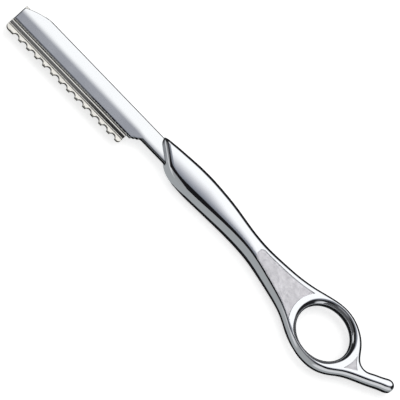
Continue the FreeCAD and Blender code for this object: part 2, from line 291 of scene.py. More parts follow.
class RazorHolderSettings(bpy.types.PropertyGroup):
    """What a user would change on the blade holder."""
    leaf_slope: FloatProperty(
        name="Leaf slope", description="How much the lower half of each leaf leans towards the blade",
        default=0.061, min=0.0, max=0.065, subtype="FACTOR")
    sheet_colour: FloatVectorProperty(
        name="Sheet", description="Colour of the polished stainless sheet", default=linear("D4D6D8"),
        size=3, min=0, max=1, subtype="COLOR")
    # The liner's colour is the strip's mill grey, darkened as painted shade for its recess between the
    # leaves.
    liner_shaded_colour: FloatVectorProperty(
        name="Liner", description="Colour of the strip between the leaves", default=linear("3E3F41"),
        size=3, min=0, max=1, subtype="COLOR")


class RazorCartridgeSettings(bpy.types.PropertyGroup):
    """What a user would change on the guarded blade."""
    guard_colour: FloatVectorProperty(
        name="Guard", description="Colour of the satin strip of the guard", default=linear("D3D1CB"),
        size=3, min=0, max=1, subtype="COLOR")
    blade_colour: FloatVectorProperty(
        name="Blade", description="Colour of the ground carbon steel", default=linear("A9A8A6"),
        size=3, min=0, max=1, subtype="COLOR")


class RazorStageSettings(bpy.types.PropertyGroup):
    """The floor, the lights and the camera."""
    view_tilt: FloatProperty(
        name="View tilt", description="How far the camera leans from straight above to the edge's side",
        default=math.radians(34.0), min=0, max=math.radians(80), unit="ROTATION", subtype="ANGLE")
    view_roll: FloatProperty(
        name="View roll", description="How far the razor's length runs down to the right in the picture",
        default=math.radians(46.0), min=0, max=math.radians(90), unit="ROTATION", subtype="ANGLE")
    frame_width: FloatProperty(
        name="Frame width", description="Width that the square picture shows at the razor",
        default=160 * MM, min=100 * MM, max=500 * MM, unit="LENGTH", subtype="DISTANCE")
    key_power: FloatProperty(
        name="Key light", description="Power of the large soft light behind the spine",
        default=3.0, min=0.1, max=50, unit="POWER")
    room_light: FloatProperty(
        name="Room light", description="Strength of the even light from all round",
        default=0.58, min=0.0, max=2.0, subtype="FACTOR")


# Materials

def add_node(tree, kind, inputs=None, **settings):
    """One node with its settings and its inputs: each a value, or the output or node that feeds it."""
    node = tree.nodes.new(kind)
    for name, value in settings.items():
        setattr(node, name, value)
    for name, value in (inputs or {}).items():
        value = value.outputs[0] if isinstance(value, bpy.types.Node) else value
        if isinstance(value, bpy.types.NodeSocket):
            tree.links.new(value, node.inputs[name])
        else:
            node.inputs[name].default_value = value
    return node


def new_material(name):
    """An empty material, its node tree and the place on the object in it."""
    material = bpy.data.materials.new(name)
    material.use_nodes = True
    tree = material.node_tree
    tree.nodes.clear()
    return material, tree, add_node(tree, "ShaderNodeTexCoord").outputs["Object"]


def show(tree, shader):
    """Makes a shader the material's surface."""
    add_node(tree, "ShaderNodeOutputMaterial", {"Surface": shader})


def noise(tree, place, size, detail, roughness=0.5):
    """The value of a noise with cells of about the given size in millimetres."""
    inputs = {"Vector": place, "Scale": 1 / (size * MM), "Detail": detail, "Roughness": roughness}
    return add_node(tree, "ShaderNodeTexNoise", inputs)


def drawn_out(tree, value, low, high, start=noise_low, end=noise_high):
    """A value whose range from start to end is drawn out to run from low to high."""
    inputs = {"Value": value, "From Min": start, "From Max": end, "To Min": low, "To Max": high}
    return add_node(tree, "ShaderNodeMapRange", inputs)


def tinted(tree, colour, share):
    """A colour multiplied by a share."""
    return add_node(tree, "ShaderNodeVectorMath", {0: colour, 1: share}, operation="MULTIPLY")


def calculate(tree, operation, *terms):
    """The result of a sum on values, outputs and nodes."""
    return add_node(tree, "ShaderNodeMath", dict(enumerate(terms)), operation=operation)


def metal(name, colour, roughness, haze=0.02, haze_mm=9.0, grain_mm=0.0, grain_depth_mm=0.0, mottle=0.0,
          line_mm=0.0, line_depth_mm=0.0):
    """A bare metal: its roughness drifts a little, and grain or drawn lines stand in its surface."""
    material, tree, place = new_material(name)
    drift = noise(tree, place, haze_mm, 4.0)
    rough = drawn_out(tree, drift, max(roughness - haze, 0.01), roughness + haze)
    inputs = {"Base Color": rgba(colour), "Metallic": 1.0, "Roughness": rough}
    if mottle:
        spots = noise(tree, place, mottle_size, 6.0, 0.65)
        inputs["Base Color"] = tinted(tree, colour, drawn_out(tree, spots, 1 - mottle, 1 + mottle))
    height = depth_mm = None
    if grain_mm:
        height, depth_mm = noise(tree, place, grain_mm, 3.0), grain_depth_mm
    if line_mm:
        stretched = add_node(tree, "ShaderNodeMapping", {"Vector": place, "Scale": line_stretch})
        height, depth_mm = noise(tree, stretched, line_mm, 2.0), line_depth_mm
    if height:
        inputs["Normal"] = add_node(tree, "ShaderNodeBump",
                                    {"Distance": depth_mm * MM, "Strength": 1.0, "Height": height})
    show(tree, add_node(tree, "ShaderNodeBsdfPrincipled", inputs))
    return material


# Curves and plans, in millimetres

def spline(points, step):
    """Points on the smooth curve through the given ones, their places on it and those of the given ones."""
    knots = np.array(points, float)
    places = np.concatenate([[0], np.cumsum(np.hypot(*np.diff(knots, axis=0).T))])
    gaps = np.diff(places)
    count = len(knots)
    bend = np.eye(count)
    pull = np.zeros((count, 2))
    for i in range(1, count - 1):
        bend[i, i - 1:i + 2] = gaps[i - 1], 2 * (gaps[i - 1] + gaps[i]), gaps[i]
        pull[i] = 6 * ((knots[i + 1] - knots[i]) / gaps[i] - (knots[i] - knots[i - 1]) / gaps[i - 1])
    curve = np.linalg.solve(bend, pull)
    at = np.linspace(0, places[-1], int(places[-1] / step) + 2)
    k = np.clip(np.searchsorted(places, at, side="right") - 1, 0, count - 2)
    back, ahead, width = (places[k + 1] - at)[:, None], (at - places[k])[:, None], gaps[k][:, None]
    line = (curve[k] * back**3 + curve[k + 1] * ahead**3) / (6 * width)
    line += (knots[k] / width - curve[k] * width / 6) * back
    line += (knots[k + 1] / width - curve[k + 1] * width / 6) * ahead
    return line, at, places


def turns(count):
    """As many even turns as count, all the way round."""
    return np.linspace(0, 2 * math.pi, count, endpoint=False)


def circle(radius, angles):
    """Points round the origin."""
    return radius * np.stack([np.cos(angles), np.sin(angles)], axis=1)


def half_thickness(x):
    """Half the grip's thickness at x."""
    rows = [(-grip_length * place, grip_thickness / 2 * share) for place, share in thickness_shares]
    rows += [(side * ring_radius, ring_thickness / 2) for side in (-1, 0, 1)]
    rows += [(tang_reach + side * tang_width, tang_thickness / 2) for side in (-1, 1)]
    return np.interp(x, *spline(rows, thickness_step)[0].T)


def grip_contour(crease_rounding):
    """The grip's outline, from the front along the spine and back, and the edge's rounding along it."""
    rows = []

    def add(shares, scale, roundings):
        """Adds the points of a table of shares, with the roundings that hold at some of its rows."""
        for row, share in enumerate(shares):
            rows.append((*(np.array(share) * scale), roundings.get(row)))

    grip_scale, ring_scale = (-grip_length, spine_height), (ring_radius, ring_radius)
    add(grip_spine_shares, grip_scale,
        {row: spine_rounding_share * float(half_thickness(-grip_length * grip_spine_shares[row][0]))
         for row in spine_seam_rows})
    add(ring_spine_shares, ring_scale, {0: ring_rounding})
    add(root_spine_shares, ring_scale, {1: tang_rounding})
    root = np.array(tang_root_shares) * ring_radius
    tip = np.array((tang_reach - tang_width / 2, tang_rise))
    lean = math.atan2(*(tip - root)[::-1])
    across = np.array((-math.sin(lean), math.cos(lean))) * (tang_width / 2)
    for share in tang_side_shares:
        rows.append((*(root + (tip - root) * share + across), None))
    for angle in tang_end_angles:
        turn = lean + math.radians(angle)
        rows.append((*(tip + np.array((math.cos(turn), math.sin(turn))) * (tang_width / 2)), None))
    for share in reversed(tang_side_shares):
        rows.append((*(root + (tip - root) * share - across), None))
    add(root_edge_shares, ring_scale, {1: tang_rounding})
    add(ring_edge_shares, ring_scale, {2: ring_rounding, 3: ring_rounding, 4: crease_rounding})
    add(grip_edge_shares, grip_scale, {len(grip_edge_shares) - 1: crease_rounding})
    line, at, places = spline([row[:2] for row in rows], contour_step)
    seams = [i for i, row in enumerate(rows) if row[2] is not None]
    return line, np.interp(at, places[seams], [rows[i][2] for i in seams])


def inward(line):
    """The unit normals to the right of the line's direction."""
    along = np.gradient(line, axis=0)
    along /= np.linalg.norm(along, axis=1)[:, None]
    return np.stack([along[:, 1], -along[:, 0]], axis=1)


class Line:
    """A dense line that tells how far a point lies to its right, and where on it the nearest place is."""

    def __init__(self, points):
        self.points = points
        self.normals = inward(points)
        self.tree = KDTree(len(points))
        for i, (x, y) in enumerate(points):
            self.tree.insert((x, y, 0), i)
        self.tree.balance()

    def nearest(self, spots):
        """For each spot: signed distance to the line, unit direction away from it, and place along it."""
        last = len(self.points) - 1
        distance, away, place = np.zeros(len(spots)), np.zeros((len(spots), 2)), np.zeros(len(spots))
        for n, spot in enumerate(spots):
            _, i, _ = self.tree.find((spot[0], spot[1], 0))
            best = None
            for j in (max(i - 1, 0), min(i, last - 1)):
                a, b = self.points[j], self.points[j + 1]
                t = min(max(float(np.dot(spot - a, b - a) / np.dot(b - a, b - a)), 0.0), 1.0)
                gap = spot - a - t * (b - a)
                size = math.hypot(*gap)
                if best is None or size < best[0]:
                    best = (size, gap, j + t)
            size, gap, at = best
            j = min(int(at), last - 1)
            normal = self.normals[j] * (1 - (at - j)) + self.normals[j + 1] * (at - j)
            side = 1.0 if float(np.dot(gap, normal)) >= 0 else -1.0
            distance[n] = side * size
            away[n] = gap / size * side if size > 1e-4 else normal / math.hypot(*normal)
            place[n] = at
        return distance, away, place


def staggered(left, right, low, high, step):
    """A grid of points, every second column of which is shifted by half a step."""
    return np.array([(x, y) for column, x in enumerate(np.arange(left, right, step))
                     for y in np.arange(low, high, step) + (column % 2) * step / 2])


class Plan:
    """Points and fixed edges in the plane, which a flat net of triangles is made from."""

    def __init__(self):
        self.spots, self.edges = [], []

    def add(self, points, loop=False, keep=None):
        """Adds the kept points of a line and the edges between neighbours."""
        index = {}
        for i, point in enumerate(points):
            if keep is None or keep[i]:
                index[i] = len(self.spots)
                self.spots.append(tuple(point))
        for i in range(len(points) - (not loop)):
            j = (i + 1) % len(points)
            if i in index and j in index:
                self.edges.append((index[i], index[j]))

    def fill(self, points):
        """Adds points without edges."""
        self.spots.extend(tuple(point) for point in points)

    def cut(self, is_inside):
        """The points and the triangles of the net, without what lies outside."""
        made = delaunay_2d_cdt([Vector(p) for p in self.spots], self.edges, [], 0, 1e-6)
        plan, triangles = np.array([(v.x, v.y) for v in made[0]]), np.array(made[2], int)
        triangles = triangles[is_inside(plan[triangles].mean(axis=1))]
        used, numbers = np.unique(triangles, return_inverse=True)
        return plan[used], numbers.reshape(triangles.shape)


def boundary(triangles):
    """Edges that only one triangle uses, in its own direction."""
    used = {edge: None for a, b, c in triangles for edge in ((a, b), (b, c), (c, a))}
    return [edge for edge in used if edge[::-1] not in used]


def unit(vectors):
    """The vectors, brought to length 1."""
    return vectors / np.maximum(np.linalg.norm(vectors, axis=1), 1e-12)[:, None]


def level_normal(plan, a, b):
    """The level normal of the wall under the plan's edge from a to b."""
    flat = np.array((plan[b][1] - plan[a][1], plan[a][0] - plan[b][0], 0.0))
    return flat / np.linalg.norm(flat)


def round_off(radius, gap):
    """How far a rounded edge has dropped a gap away from where it starts, and how steep it is there."""
    rise = np.sqrt(radius**2 - gap**2)
    return radius - rise, gap / rise


def placed(name, data):
    """A new object in the scene."""
    piece = bpy.data.objects.new(name, data)
    bpy.context.scene.collection.objects.link(piece)
    return piece


def solid(name, spots, faces, normals, materials, slots):
    """A mesh object from points in millimetres, a normal for each corner and a material for each face."""
    mesh = bpy.data.meshes.new(name)
    mesh.from_pydata([tuple(p * MM) for p in spots], [], faces)
    for material in materials:
        mesh.materials.append(material)
    mesh.polygons.foreach_set("material_index", slots)
    mesh.polygons.foreach_set("use_smooth", [True] * len(faces))
    mesh.update()
    mesh.normals_split_custom_set([tuple(n) for n in normals])
    return placed(name, mesh)


# The grip

def crease_roll(x, above):
    """How much the face drops near the crease, and its slope away from the crease."""
    rows = np.array(crease_roll_rows)
    crown, crown_slope, roll, roll_slope = (np.interp(x, rows[:, 0], rows[:, i]) for i in range(1, 5))
    slow = np.clip(1 - (above - roll) / crown, 0, 1)
    quick = np.clip(1 - above / roll, 0, 1)
    past = np.clip(roll - above, 0, roll)
    drop = 0.5 * crown_slope * crown * slow**2
    drop += crown_slope * past + 0.5 * (roll_slope - crown_slope) * roll * quick**2
    return drop, -crown_slope * slow - (roll_slope - crown_slope) * quick


class Panel:
    """A sunk matte panel beside the ring, with rims of given widths at the spine and the crease."""

    def __init__(self, side, start, spine_rim, edge_rim, spine_y, crease_y):
        self.side, self.start = side, start
        self.top = lambda x: spine_y(x) - spine_rim
        self.low = lambda x: crease_y(x) + edge_rim

    def sink(self, x, y):
        """How far inside the panel a point lies."""
        inside = np.minimum(self.top(x) - y, y - self.low(x))
        end = (self.start - x) * self.side
        corner = panel_corner - np.hypot(panel_corner - end, panel_corner - inside)
        near = (end < panel_corner) & (inside < panel_corner)
        inside = np.where(near, corner, np.minimum(inside, end))
        from_ring = np.hypot(x, y) - ring_radius - panel_ring_rim
        return np.minimum(np.minimum(inside, from_ring), x * self.side)

    def loop(self, shift):
        """The panel's rim, or a line that runs shift inside it."""
        start, turn = self.start - self.side * shift, panel_corner - shift
        xs = np.linspace(start, self.side * 1.0, panel_points)
        from_end = np.clip(1 - (start - xs) * self.side / turn, 0, 1)
        cut = shift + turn * (1 - np.sqrt(1 - from_end**2))
        top, low = np.stack([xs, self.top(xs) - cut], axis=1), np.stack([xs, self.low(xs) + cut], axis=1)
        rim = ring_radius + panel_ring_rim + shift
        is_open = top[:, 1] > low[:, 1]
        top, low = (edge[is_open & (np.hypot(*edge.T) > rim)] for edge in (top, low))
        high_turn, low_turn = (math.atan2(*edge[-1][::-1]) for edge in (top, low))
        if self.side < 0 and low_turn < 0:
            low_turn += 2 * math.pi
        arc = circle(rim, np.linspace(high_turn, low_turn, panel_arc_points)[1:-1])
        return np.vstack([top, arc, low[::-1], np.linspace(low[0], top[0], panel_end_points)[1:-1]])


def build_grip(name, settings, materials):
    """The grip with its ring, tang, rolled faces, rounded edges and sunk panels."""
    line, rounding = grip_contour(settings.crease_rounding / MM)
    outline = Line(line)
    numbers = np.arange(len(line))
    tang_end = int(np.argmax(line[:, 0]))
    upper, lower = line[:tang_end], line[tang_end:][::-1]
    corners = [(nose_length * x - grip_length, spine_height * y) for x, y in nose_shares]
    nose, _, _ = spline(corners, nose_step)

    def spine_y(x):
        return np.interp(x, *upper.T)

    def crease_y(x):
        return np.interp(x, *lower.T)

    def nose_x(y):
        return np.interp(-y, -nose[:, 1], nose[:, 0])

    def roll_at(x, y):
        return crease_roll(x, y - crease_y(x))

    def past(points, depths):
        """How far points lie past a line that runs some depth inside the outline."""
        distance, _, place = outline.nearest(points)
        return distance - np.interp(place, numbers, depths)

    edge_roll, _ = roll_at(*line.T)
    edge_roll[:tang_end] = 0
    wall = half_thickness(line[:, 0]) - edge_roll - rounding * (1 - math.sin(wall_lean))
    bulge = wall * math.tan(wall_lean) / 2

    net = Plan()
    for row in range(round_rows + 1):
        angle = wall_lean + (math.pi / 2 - wall_lean) * row / round_rows
        depth = bulge + rounding * (math.cos(wall_lean) - math.cos(angle))
        points = line + outline.normals * depth[:, None]
        net.add(points, keep=points[:, 0] > nose_x(points[:, 1]) + gap_at_nose)
    for row in range(round_rows + 1):
        radius = bore_radius + bore_rounding * (1 - math.cos(math.pi / 2 * row / round_rows))
        net.add(circle(radius, turns(bore_points)), loop=True)

    gaps = past(nose, bulge)
    first, last = np.flatnonzero(gaps > 0)[[0, -1]]

    def meet(a, b):
        """Where the nose's line crosses the wall, between two of its points."""
        return nose[a] + (nose[b] - nose[a]) * (gaps[a] / (gaps[a] - gaps[b]))

    nose_line = np.vstack([meet(first - 1, first), nose[first:last + 1], meet(last, last + 1)])
    net.add(nose_line)
    depths = [nose_rounding * (1 - math.cos(math.pi / 2 * (row + 1) / nose_round_rows))
              for row in range(nose_round_rows)]
    for depth in (*depths, nose_roll / 2, nose_roll):
        net.add(nose_line[nose_inner] - inward(nose_line)[nose_inner] * depth)

    long_end, short_end = -ring_radius - panel_length, ring_radius + root_panel_length
    panels = [Panel(-1, long_end, panel_spine_rim, panel_crease_land, spine_y, crease_y),
              Panel(1, short_end, root_panel_rim, root_panel_rim, spine_y, crease_y)]
    for panel in panels:
        for shift in (0.0, step_width):
            net.add(panel.loop(shift), loop=True)

    grid = staggered(-grip_length, tang_reach, -ring_radius, ring_radius, fill_step)
    kept = past(grid, bulge + rounding) > gap_at_edge
    kept &= np.hypot(*grid.T) >= bore_radius + bore_rounding + gap_at_edge
    kept &= grid[:, 0] >= nose_x(grid[:, 1]) + nose_roll
    for panel in panels:
        kept &= np.abs(panel.sink(*grid.T) - step_width / 2) >= gap_at_step
    net.fill(grid[kept])

    def is_inside(middle):
        in_ring = np.hypot(*middle.T) > bore_radius * math.cos(math.pi / bore_points)
        return (past(middle, bulge) > -touch) & in_ring & (middle[:, 0] > nose_x(middle[:, 1]))

    plan, triangles = net.cut(is_inside)
    x, y = plan.T

    # The upper face: thickness and roll, then the roundings at the outline, the bore and the nose.
    roll, roll_slope = roll_at(x, y)
    height = half_thickness(x) - np.where(x < 0, roll, 0)
    slope_x = (half_thickness(x + slope_step) - half_thickness(x - slope_step)) / (2 * slope_step)
    slope_y = np.where(x < 0, -roll_slope, 0)
    distance, away, place = outline.nearest(plan)
    local_round, local_bulge = (np.interp(place, numbers, values) for values in (rounding, bulge))
    widest = local_round * math.cos(wall_lean)
    gap = np.clip(widest - (distance - local_bulge), 0, widest)
    bore_gap = np.clip(bore_rounding - (np.hypot(x, y) - bore_radius), 0, bore_rounding * fold_most)
    rim_distance, rim_away, _ = Line(nose).nearest(plan)
    at_nose = np.abs(rim_distance) < nose_roll + gap_at_cut
    rim_gap = np.clip(nose_rounding + rim_distance, 0, nose_rounding * round_most) * at_nose
    rim_share = np.clip(1 + rim_distance / nose_roll, 0, 1) * at_nose
    height = height - 0.5 * nose_roll_slope * nose_roll * rim_share**2
    tilt = (nose_roll_slope * rim_share)[:, None] * rim_away - np.column_stack([slope_x, slope_y])
    for radius, gone, outward in ((local_round, gap, -away), (bore_rounding, bore_gap, -unit(plan)),
                                  (nose_rounding, rim_gap, rim_away)):
        drop, steep = round_off(radius, gone)
        height = height - drop
        tilt = tilt + steep[:, None] * outward
    normal = unit(np.column_stack([tilt, np.ones(len(plan))]))
    sunk = np.max([np.clip(panel.sink(x, y) / step_width, 0, 1) for panel in panels], axis=0)
    height = height - panel_recess * sunk
    return grip_mesh(name, plan, triangles, height, normal, sunk, distance, away, local_bulge, materials)


def grip_mesh(name, plan, triangles, height, normal, sunk, distance, away, bulge, materials):
    """The grip's two faces, flat on the panels' steps, and its walls in rows from top to bottom."""
    count = len(plan)
    top = np.column_stack([plan, height])
    spots = [*top, *np.column_stack([plan, -height])]
    faces, corner_normals, slots = [], [], []
    matte_faces = (sunk[triangles] > wholly).all(axis=1)
    step_faces = ~matte_faces & (sunk[triangles] > partly).any(axis=1)
    for (a, b, c), is_matte, is_step in zip(triangles.tolist(), matte_faces, step_faces):
        side = np.cross(top[b] - top[a], top[c] - top[a])
        corners = [side / np.linalg.norm(side)] * 3 if is_step else [normal[a], normal[b], normal[c]]
        faces += [(a, b, c), (count + c, count + b, count + a)]
        corner_normals += corners + [corner * mirror for corner in reversed(corners)]
        slots += [1 if is_matte else 0] * 2

    rims = boundary(triangles.tolist())
    on_bore = np.hypot(*plan.T) < bore_radius + near_rim
    on_outline = ~on_bore & (distance < bulge + near_wall)
    radial = unit(plan)
    shares = [1 - 2 * level / wall_rows for level in range(wall_rows + 1)]
    columns = {}
    for i in {v for edge in rims for v in edge}:
        columns[i] = [i]
        for share in shares[1:-1]:
            out = -away[i] * bulge[i] * (1 - share**2) if on_outline[i] else np.zeros(2)
            columns[i].append(len(spots))
            spots.append(np.array((*(plan[i] + out), height[i] * share)))
        columns[i].append(count + i)

    def side_normal(a, b, i, share):
        """The normal at a level of point i's column, for the wall under the edge from a to b."""
        if on_outline[a] and on_outline[b]:
            turn = wall_lean * share
            return np.array((*(-away[i] * math.cos(turn)), math.sin(turn)))
        if on_bore[a] and on_bore[b]:
            return np.array((*(-radial[i]), 0.0))
        return level_normal(plan, a, b)

    for a, b in rims:
        for level in range(wall_rows):
            corners = ((b, level), (a, level), (a, level + 1), (b, level + 1))
            faces.append(tuple(columns[i][at] for i, at in corners))
            corner_normals += [side_normal(a, b, i, shares[at]) for i, at in corners]
            slots.append(0)
    return solid(name, spots, faces, corner_normals, materials, slots)


# The blade holder and the guard

def run(start, end, count):
    """Points on the straight way to the end, without its start."""
    return np.linspace(start, end, count)[1:]


def holder_lines():
    """The holder's outline, clockwise from the lower end of the tip."""
    tip_low, tip_high = np.array((head_front, leaf_low)), np.array((head_front, spine_level - tip_drop))
    radius = (tip_run**2 + tip_drop**2) / (2 * tip_drop)
    centre = np.array((head_front + tip_run, spine_level - radius))
    angles = np.linspace(math.asin(tip_run / radius), 0, tip_arc_points)
    arc = centre + radius * np.stack([-np.sin(angles), np.cos(angles)], axis=1)
    neck_top, neck_foot = (neck_hidden_end, spine_level), (neck_hidden_end, neck_low)
    step_end, step_start = np.array((leaf_end + step_run, neck_low)), np.array((leaf_end, leaf_low))
    points = [
        np.linspace(tip_low, tip_high, tip_points)[:-1], arc,
        run((head_front + tip_run, spine_level), neck_top, spine_points),
        run(neck_top, neck_foot, neck_end_points), run(neck_foot, step_end, neck_points),
    ]
    stride = (step_start - step_end) / ridge_count
    side = np.array((stride[1], -stride[0])) * ridge_height / np.linalg.norm(stride)
    shares = run(0, 1, ridge_points)[:, None]
    for ridge in range(ridge_count):
        points.append(step_end + stride * (ridge + shares) + side * 4 * shares * (1 - shares))
    points.append(run(step_start, tip_low, leaf_points)[:-1])
    return np.vstack(points)


def guard_lines():
    """The guard's outline, clockwise from the front's top, with a valley between each pair of teeth."""
    end = head_front + cartridge_length
    valleys = int((cartridge_length - front_corner - rear_corner) / tooth_pitch)
    first = end - rear_corner - tooth_pitch * (valleys - 0.5)
    half_gap = (tooth_pitch - tooth_width) / 2
    radius = (half_gap**2 + tooth_height**2) / (2 * tooth_height)
    half_turn = math.asin(half_gap / radius)
    quarter = np.linspace(0, math.pi / 2, corner_points)
    points = [
        [(head_front, guard_top), (end, guard_top)],
        run((end, guard_top), (end, tip_level + rear_corner), guard_end_points),
        np.stack([end - rear_corner * (1 - np.cos(quarter)),
                  tip_level + rear_corner * (1 - np.sin(quarter))], axis=1)[1:],
    ]
    angles = np.linspace(half_turn, -half_turn, valley_points)
    for valley in reversed(range(valleys)):
        points.append(np.stack([first + tooth_pitch * valley + radius * np.sin(angles),
                                valley_level - radius * (1 - np.cos(angles))], axis=1))
    points.append(np.stack([head_front + front_corner * (1 - np.sin(quarter)),
                            tip_level + front_corner * (1 - np.cos(quarter))], axis=1))
    front_foot = (head_front, tip_level + front_corner)
    points.append(run(front_foot, (head_front, guard_top), guard_end_points)[:-1])
    return np.vstack(points)


def profile(rows, y):
    """Height and slope at y of a smooth section through rows of y and height."""
    line, _, _ = spline(rows[::-1], section_step)
    height = np.interp(y, *line.T)
    return height, (np.interp(y + section_slope_step, *line.T) - height) / section_slope_step


def folded_strip(name, loop, turn, bend_radius, hollow_half, surface, levels, round_at, step, materials):
    """A strip folded along its top: two leaves of a given outer surface, a bend and a hollow between."""
    outline = Line(np.vstack([loop, loop[:2]]))
    left, right, low = loop[:, 0].min(), loop[:, 0].max(), loop[:, 1].min()
    inner_top = turn + hollow_half
    net = Plan()
    net.add(loop, loop=True)
    bends = [turn + bend_radius * math.sin(math.radians(angle)) for angle in fold_angles]
    xs = np.linspace(left, right, int((right - left) / strip_step))
    for y in (*bends, inner_top, turn, *levels):
        points = np.stack([xs, np.full(len(xs), y)], axis=1)
        inside = outline.nearest(points)[0] > near_rim
        for part in np.split(np.arange(len(xs)), np.flatnonzero(np.diff(inside)) + 1):
            if inside[part[0]] and len(part) > 1:
                net.add(points[part])
    for row in range(1, strip_round_rows + 1):
        depth = round_at(*loop.T) * (1 - math.cos(math.pi / 2 * row / strip_round_rows))
        inset = loop + outline.normals[:len(loop)] * depth[:, None]
        clear = (outline.nearest(inset)[0] > depth * inset_most) & (inset[:, 1] < turn - gap_at_cut)
        net.fill(inset[clear])
    grid = staggered(left, right, low, turn, step)
    clear = outline.nearest(grid)[0] > round_at(*grid.T) + gap_at_cut
    clear &= grid[:, 1] < turn - gap_at_step
    for y in levels:
        clear &= np.abs(grid[:, 1] - y) > gap_at_level
    net.fill(grid[clear])
    plan, triangles = net.cut(lambda middle: outline.nearest(middle)[0] > -touch)

    height, slope = surface(*plan.T)
    bend_drop, bend_steep = round_off(bend_radius, np.clip(plan[:, 1] - turn, 0, bend_radius * fold_most))
    distance, away, _ = outline.nearest(plan)
    edge_round = round_at(*plan.T)
    gap = np.clip(edge_round - distance, 0, edge_round * round_most) * (plan[:, 1] < turn + near_wall)
    edge_drop, edge_steep = round_off(edge_round, gap)
    outer = height - bend_drop - edge_drop
    inner = np.sqrt(np.maximum(hollow_half**2 - np.clip(plan[:, 1] - turn, 0, hollow_half)**2, 0))
    steep = edge_steep[:, None] * away
    normal = unit(np.column_stack([-steep[:, 0], bend_steep - slope - steep[:, 1], np.ones(len(plan))]))

    count = len(plan)
    hollow = (plan[triangles][:, :, 1] <= inner_top + 1e-6).all(axis=1)
    spots = [spot for side in (outer, -outer, inner, -inner) for spot in np.column_stack([plan, side])]
    faces, corner_normals, slots = [], [], []
    upward = np.array((0.0, 0.0, 1.0))
    under, inside, beneath = count, 2 * count, 3 * count
    for (a, b, c), is_hollow in zip(triangles.tolist(), hollow):
        faces += [(a, b, c), (under + c, under + b, under + a)]
        corner_normals += [normal[i] for i in (a, b, c)] + [normal[i] * mirror for i in (c, b, a)]
        if is_hollow:
            faces += [(inside + c, inside + b, inside + a), (beneath + a, beneath + b, beneath + c)]
            corner_normals += [-upward] * 3 + [upward] * 3
        slots += [0] * (4 if is_hollow else 2)
    for a, b in boundary(triangles.tolist()):
        if plan[a][1] > inner_top - 1e-6 and plan[b][1] > inner_top - 1e-6:
            quads = [(b, a, under + a, under + b)]
        else:
            quads = [(b, a, inside + a, inside + b), (beneath + b, beneath + a, under + a, under + b)]
        faces += quads
        corner_normals += [level_normal(plan, a, b)] * 4 * len(quads)
        slots += [1] * len(quads)
    return solid(name, spots, faces, corner_normals, materials, slots)


def build_holder(name, settings, materials):
    """The folded sheet with its two leaves, the fold along the spine and the neck."""
    def surface(x, y):
        on_neck = np.clip((x - leaf_end) / step_run, 0, 1)
        low, start, settled, roll = (leaf + (neck - leaf) * on_neck for leaf, neck in (
            (leaf_low, neck_low), (leaf_lean_from, neck_lean_from), (leaf_lean_to, neck_lean_to),
            (leaf_roll, neck_roll)))
        span = start - settled
        t = np.clip((start - y) / span, 0, None)
        slope = settings.leaf_slope * np.clip(t, 0, 1)
        drop = settings.leaf_slope * np.where(t < 1, 0.5 * t**2 * span, 0.5 * span + (t - 1) * span)
        quick = np.clip(1 - (y - low) / roll, 0, 1)
        drop = drop + 0.5 * leaf_roll_slope * roll * quick**2
        return fold_radius - drop, slope + leaf_roll_slope * quick

    def round_at(x, y):
        at_tip = np.clip((head_front + tip_run + tip_fade - x) / tip_fade, 0, 1)
        at_tip *= np.clip((y - leaf_low - tip_fade_low) / tip_fade_low, 0, 1)
        return holder_edge_round + (holder_tip_round - holder_edge_round) * at_tip

    levels = (leaf_low + leaf_roll, leaf_low + leaf_roll / 2, leaf_lean_from, leaf_lean_to)
    return folded_strip(name, holder_lines(), spine_level - fold_radius, fold_radius, slot_half, surface,
                        levels, round_at, holder_fill_step, materials)


def build_guard(name, materials):
    """The thin strip folded over the blade's back, with its rib, its groove and its comb of teeth."""
    rows = [(leaf_low + y, z) for y, z in guard_rows]

    def surface(x, y):
        return profile(rows, y)

    def round_at(x, y):
        return np.full(len(x), guard_edge_round)

    levels = [y for y, _ in rows[1:-2]]
    return folded_strip(name, guard_lines(), guard_top - guard_half, guard_half, blade_thickness / 2,
                        surface, levels, round_at, guard_fill_step, materials)


def refinish(node, material):
    """Gives a CAD node one material."""
    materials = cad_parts[node].data.materials
    materials.clear()
    materials.append(material)


# The stage

def stage_piece(name, spots, faces, material, mirrors_only=True):
    """A stage piece, in millimetres. One for mirrors only is seen in metal and nowhere else."""
    mesh = bpy.data.meshes.new(name)
    mesh.from_pydata([tuple(value * MM for value in spot) for spot in spots], [], faces)
    mesh.materials.append(material)
    piece = placed(name, mesh)
    if mirrors_only:
        piece.visible_camera = piece.visible_diffuse = False
        piece.visible_shadow = piece.visible_transmission = False
    return piece


def plate(name, outline, level, material, mirrors_only=True):
    """A level stage piece with one face."""
    spots = [(x, y, level) for x, y in outline]
    stage_piece(name, spots, [tuple(range(len(spots)))], material, mirrors_only)


def strip(name, near, far, level, material):
    """A level stage piece between two lines with as many points."""
    count = len(near)
    stage_piece(name, [(x, y, level) for x, y in (*near, *far)],
                [(i, i + 1, count + i + 1, count + i) for i in range(count - 1)], material)


def ramp(tree, place, rows):
    """A colour ramp over an angle, from rows of degrees and linear colours, which are halved in it."""
    low, high = rows[0][0], rows[-1][0]
    share = drawn_out(tree, place, 0.0, 1.0, math.radians(low), math.radians(high))
    node = add_node(tree, "ShaderNodeValToRGB", {"Fac": share})
    stops = node.color_ramp.elements
    for i, (angle, *colour) in enumerate(rows):
        at = (angle - low) / (high - low)
        stop = stops[0] if i == 0 else stops[-1] if i == len(rows) - 1 else stops.new(at)
        stop.position = at
        stop.color = rgba([value / 2 for value in colour])
    return node


def emission(tree, colour, strength=1.0):
    """A shader that gives off light."""
    return add_node(tree, "ShaderNodeEmission", {"Color": colour, "Strength": strength})


def eased(tree, value, start, end):
    """A share that rises softly from 0 to 1 while the value goes from start to end."""
    inputs = {"Value": value, "From Min": start, "From Max": end}
    return add_node(tree, "ShaderNodeMapRange", inputs, interpolation_type="SMOOTHSTEP")


